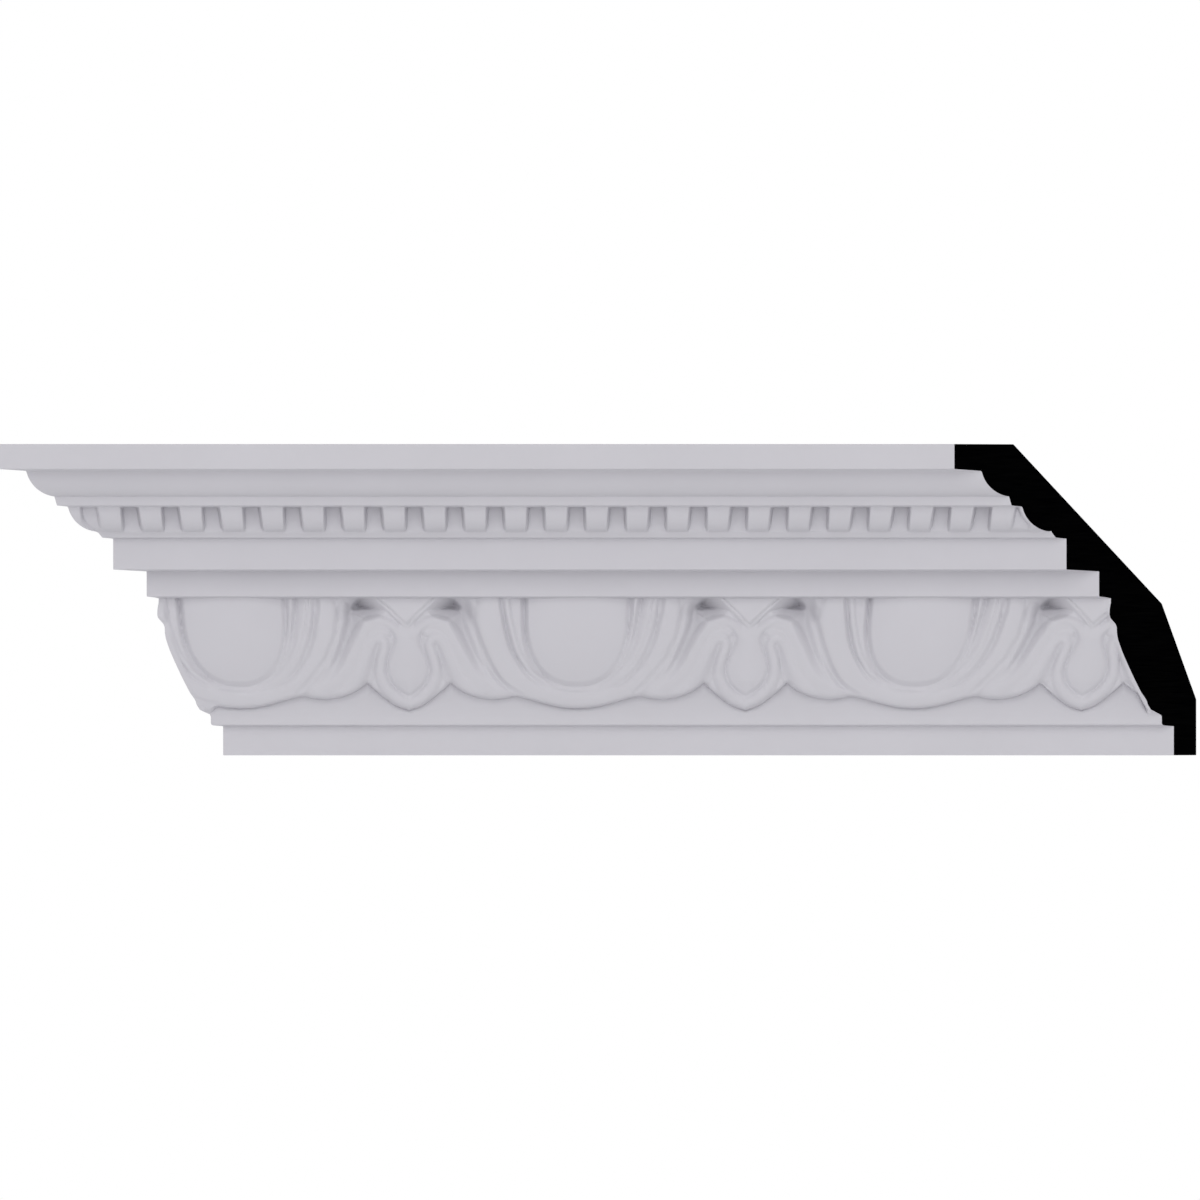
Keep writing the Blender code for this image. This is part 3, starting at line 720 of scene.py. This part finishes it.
class Nodes:
    """A material's node tree, with short ways to add and join nodes."""

    def __init__(self, name):
        self.material = bpy.data.materials.new(name)
        self.material.use_nodes = True
        self.tree = self.material.node_tree
        self.shader = self.tree.nodes["Principled BSDF"]
        self.place = self.add("ShaderNodeTexCoord").outputs["Object"]

    def add(self, kind, **settings):
        node = self.tree.nodes.new(kind)
        for name, value in settings.items():
            setattr(node, name, value)
        return node

    def link(self, source, target):
        self.tree.links.new(source, target)

    def noise(self, scale, detail, stretch=(1, 1, 1)):
        """Noise over the object's own metres."""
        mapping = self.add("ShaderNodeMapping")
        mapping.inputs["Scale"].default_value = stretch
        self.link(self.place, mapping.inputs["Vector"])
        noise = self.add("ShaderNodeTexNoise")
        noise.inputs["Scale"].default_value = scale
        noise.inputs["Detail"].default_value = detail
        self.link(mapping.outputs["Vector"], noise.inputs["Vector"])
        return noise.outputs["Fac"]

    def ramp(self, value, low, high, start=0.3, end=0.7):
        """A colour or grey between low and high as the value goes from start to end."""
        ramp = self.add("ShaderNodeValToRGB")
        for element, at, colour in zip(ramp.color_ramp.elements, (start, end), (low, high)):
            element.position = at
            element.color = (*colour, 1.0)
        self.link(value, ramp.inputs["Fac"])
        return ramp.outputs["Color"]

    def multiply(self, a, b):
        """A Mix node keeps its colour sockets after those for numbers and vectors."""
        mix = self.add("ShaderNodeMix", data_type="RGBA", blend_type="MULTIPLY")
        mix.inputs["Factor"].default_value = 1.0
        self.link(a, mix.inputs[6])
        self.link(b, mix.inputs[7])
        return mix.outputs[2]

    def bump(self, heights):
        """Chained bumps: (height, distance in metres, strength)."""
        normal = None
        for height, distance, strength in heights:
            bump = self.add("ShaderNodeBump")
            bump.inputs["Distance"].default_value = distance
            bump.inputs["Strength"].default_value = strength
            self.link(height, bump.inputs["Height"])
            if normal:
                self.link(normal, bump.inputs["Normal"])
            normal = bump.outputs["Normal"]
        self.link(normal, self.shader.inputs["Normal"])


def grey(value):
    return (value, value, value)


def primed_surface():
    """Sprayed white primer: matte, faintly cloudy, with a fine grain, and with painted shade that darkens
    the deep hollows.
    """
    nodes = Nodes("primed_surface")
    low = tuple(channel * (1 - PRIMER_SPREAD) for channel in PRIMER)
    high = tuple(channel * (1 + PRIMER_SPREAD) for channel in PRIMER)
    clouds = nodes.ramp(nodes.noise(CLOUD_SCALE, 3), low, high)
    # Painted shade: the primer's colour is darkened where the relief is sunk deep, as if shade fell there
    hollow = nodes.add("ShaderNodeAttribute", attribute_name="hollow")
    deep = nodes.add("ShaderNodeMapRange")
    deep.inputs["From Max"].default_value = DEEP_HOLLOW
    nodes.link(hollow.outputs["Fac"], deep.inputs["Value"])
    painted_shade = nodes.ramp(deep.outputs["Result"], grey(1.0), PAINTED_SHADE_TINT, PAINTED_SHADE_START, 1.0)
    nodes.link(nodes.multiply(clouds, painted_shade), nodes.shader.inputs["Base Color"])
    smooth, rough = (grey(value) for value in PRIMER_ROUGHNESS)
    nodes.link(nodes.ramp(nodes.noise(GLOSS_SCALE, 2), smooth, rough), nodes.shader.inputs["Roughness"])
    nodes.shader.inputs["Specular IOR Level"].default_value = PRIMER_SPECULAR
    nodes.bump([(nodes.noise(scale, 2), height, strength) for scale, height, strength in PRIMER_GRAIN])
    return nodes.material


def cut_surface():
    """The sawn ends: a dead black face with the saw's fine lines."""
    nodes = Nodes("sawn_face")
    lines = nodes.noise(SAW_LINE_SCALE, 2, SAW_LINE_STRETCH)
    nodes.link(nodes.ramp(lines, CUT_DARK, CUT_PALE), nodes.shader.inputs["Base Color"])
    smooth, rough = (grey(value) for value in CUT_ROUGHNESS)
    nodes.link(nodes.ramp(nodes.noise(CUT_GRAIN_SCALE, 2), smooth, rough), nodes.shader.inputs["Roughness"])
    nodes.shader.inputs["Specular IOR Level"].default_value = 0.0
    nodes.bump([(lines, SAW_LINE_HEIGHT, SAW_LINE_STRENGTH)])
    return nodes.material


def add_object(name, mesh):
    thing = bpy.data.objects.new(name, mesh)
    bpy.context.scene.collection.objects.link(thing)
    return thing


def make_floor(height):
    mesh = bpy.data.meshes.new("floor")
    half = FLOOR_SIZE / 2
    corners = ((-half, -half), (half, -half), (half, half), (-half, half))
    mesh.from_pydata([(x, y, height) for x, y in corners], [], [(0, 1, 2, 3)])
    nodes = Nodes("floor_paint")
    low = tuple(channel * FLOOR_SHADE for channel in FLOOR_COLOUR)
    clouds = nodes.ramp(nodes.noise(FLOOR_CLOUD_SCALE, 3), low, FLOOR_COLOUR)
    nodes.link(clouds, nodes.shader.inputs["Base Color"])
    nodes.shader.inputs["Roughness"].default_value = FLOOR_ROUGHNESS
    mesh.materials.append(nodes.material)
    return add_object("floor", mesh)


def set_light():
    world = bpy.data.worlds.new("soft_studio")
    world.use_nodes = True
    tree = world.node_tree
    background = tree.nodes["Background"]
    background.inputs["Color"].default_value = (1.0, 1.0, 1.0, 1.0)
    direction = tree.nodes.new("ShaderNodeTexCoord")
    split = tree.nodes.new("ShaderNodeSeparateXYZ")
    strength = tree.nodes.new("ShaderNodeMapRange")
    strength.interpolation_type = "SMOOTHSTEP"
    for name, value in (("From Min", -DOME_BLEND), ("From Max", DOME_BLEND),
                        ("To Min", DOME_FRONT), ("To Max", DOME_BACK)):
        strength.inputs[name].default_value = value
    tree.links.new(direction.outputs["Generated"], split.inputs["Vector"])
    tree.links.new(split.outputs["Y"], strength.inputs["Value"])
    tree.links.new(strength.outputs["Result"], background.inputs["Strength"])
    scene = bpy.context.scene
    scene.world = world
    for n, (azimuth, elevation, width, power) in enumerate(LAMPS):
        data = bpy.data.lights.new(f"lamp_{n}", "SUN")
        data.energy = power
        data.angle = math.radians(width)
        lamp = add_object(f"lamp_{n}", data)
        turn, up = math.radians(azimuth), math.radians(elevation)
        source = Vector((math.sin(turn) * math.cos(up), -math.cos(turn) * math.cos(up), math.sin(up)))
        lamp.rotation_euler = source.to_track_quat("Z", "Y").to_euler()
    scene.view_settings.view_transform = "Standard"
    scene.view_settings.look = "None"
    scene.view_settings.exposure = 0.0
    scene.view_settings.gamma = 1.0


def set_camera():
    data = bpy.data.cameras.new("camera")
    data.type = "PERSP"
    data.sensor_width = SENSOR_WIDTH
    data.sensor_fit = "AUTO"
    data.lens = SENSOR_WIDTH * CAMERA_DISTANCE / FRAME_WIDTH
    data.clip_start = NEAREST_SEEN
    data.clip_end = FARTHEST_SEEN
    camera = add_object("camera", data)
    camera.location = (AIM[0], AIM[1] - CAMERA_DISTANCE, AIM[2])
    camera.rotation_euler = (math.radians(90), 0, 0)
    bpy.context.scene.camera = camera


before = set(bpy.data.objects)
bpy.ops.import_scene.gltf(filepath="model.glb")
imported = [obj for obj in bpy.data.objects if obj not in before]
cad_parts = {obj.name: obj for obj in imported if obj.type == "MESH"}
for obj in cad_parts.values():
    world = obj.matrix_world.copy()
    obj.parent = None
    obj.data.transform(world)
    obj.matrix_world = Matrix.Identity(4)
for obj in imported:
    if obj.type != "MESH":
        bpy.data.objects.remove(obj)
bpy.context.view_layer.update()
lowest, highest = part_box("cornice_length")
cornice = add_object("cornice_moulding", make_cornice(lowest, highest))
cornice.data.materials.append(primed_surface())
cornice.data.materials.append(cut_surface())
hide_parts("cornice_length")
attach(cornice, "root")

make_floor(lowest.z - FLOOR_BELOW)
set_light()
set_camera()
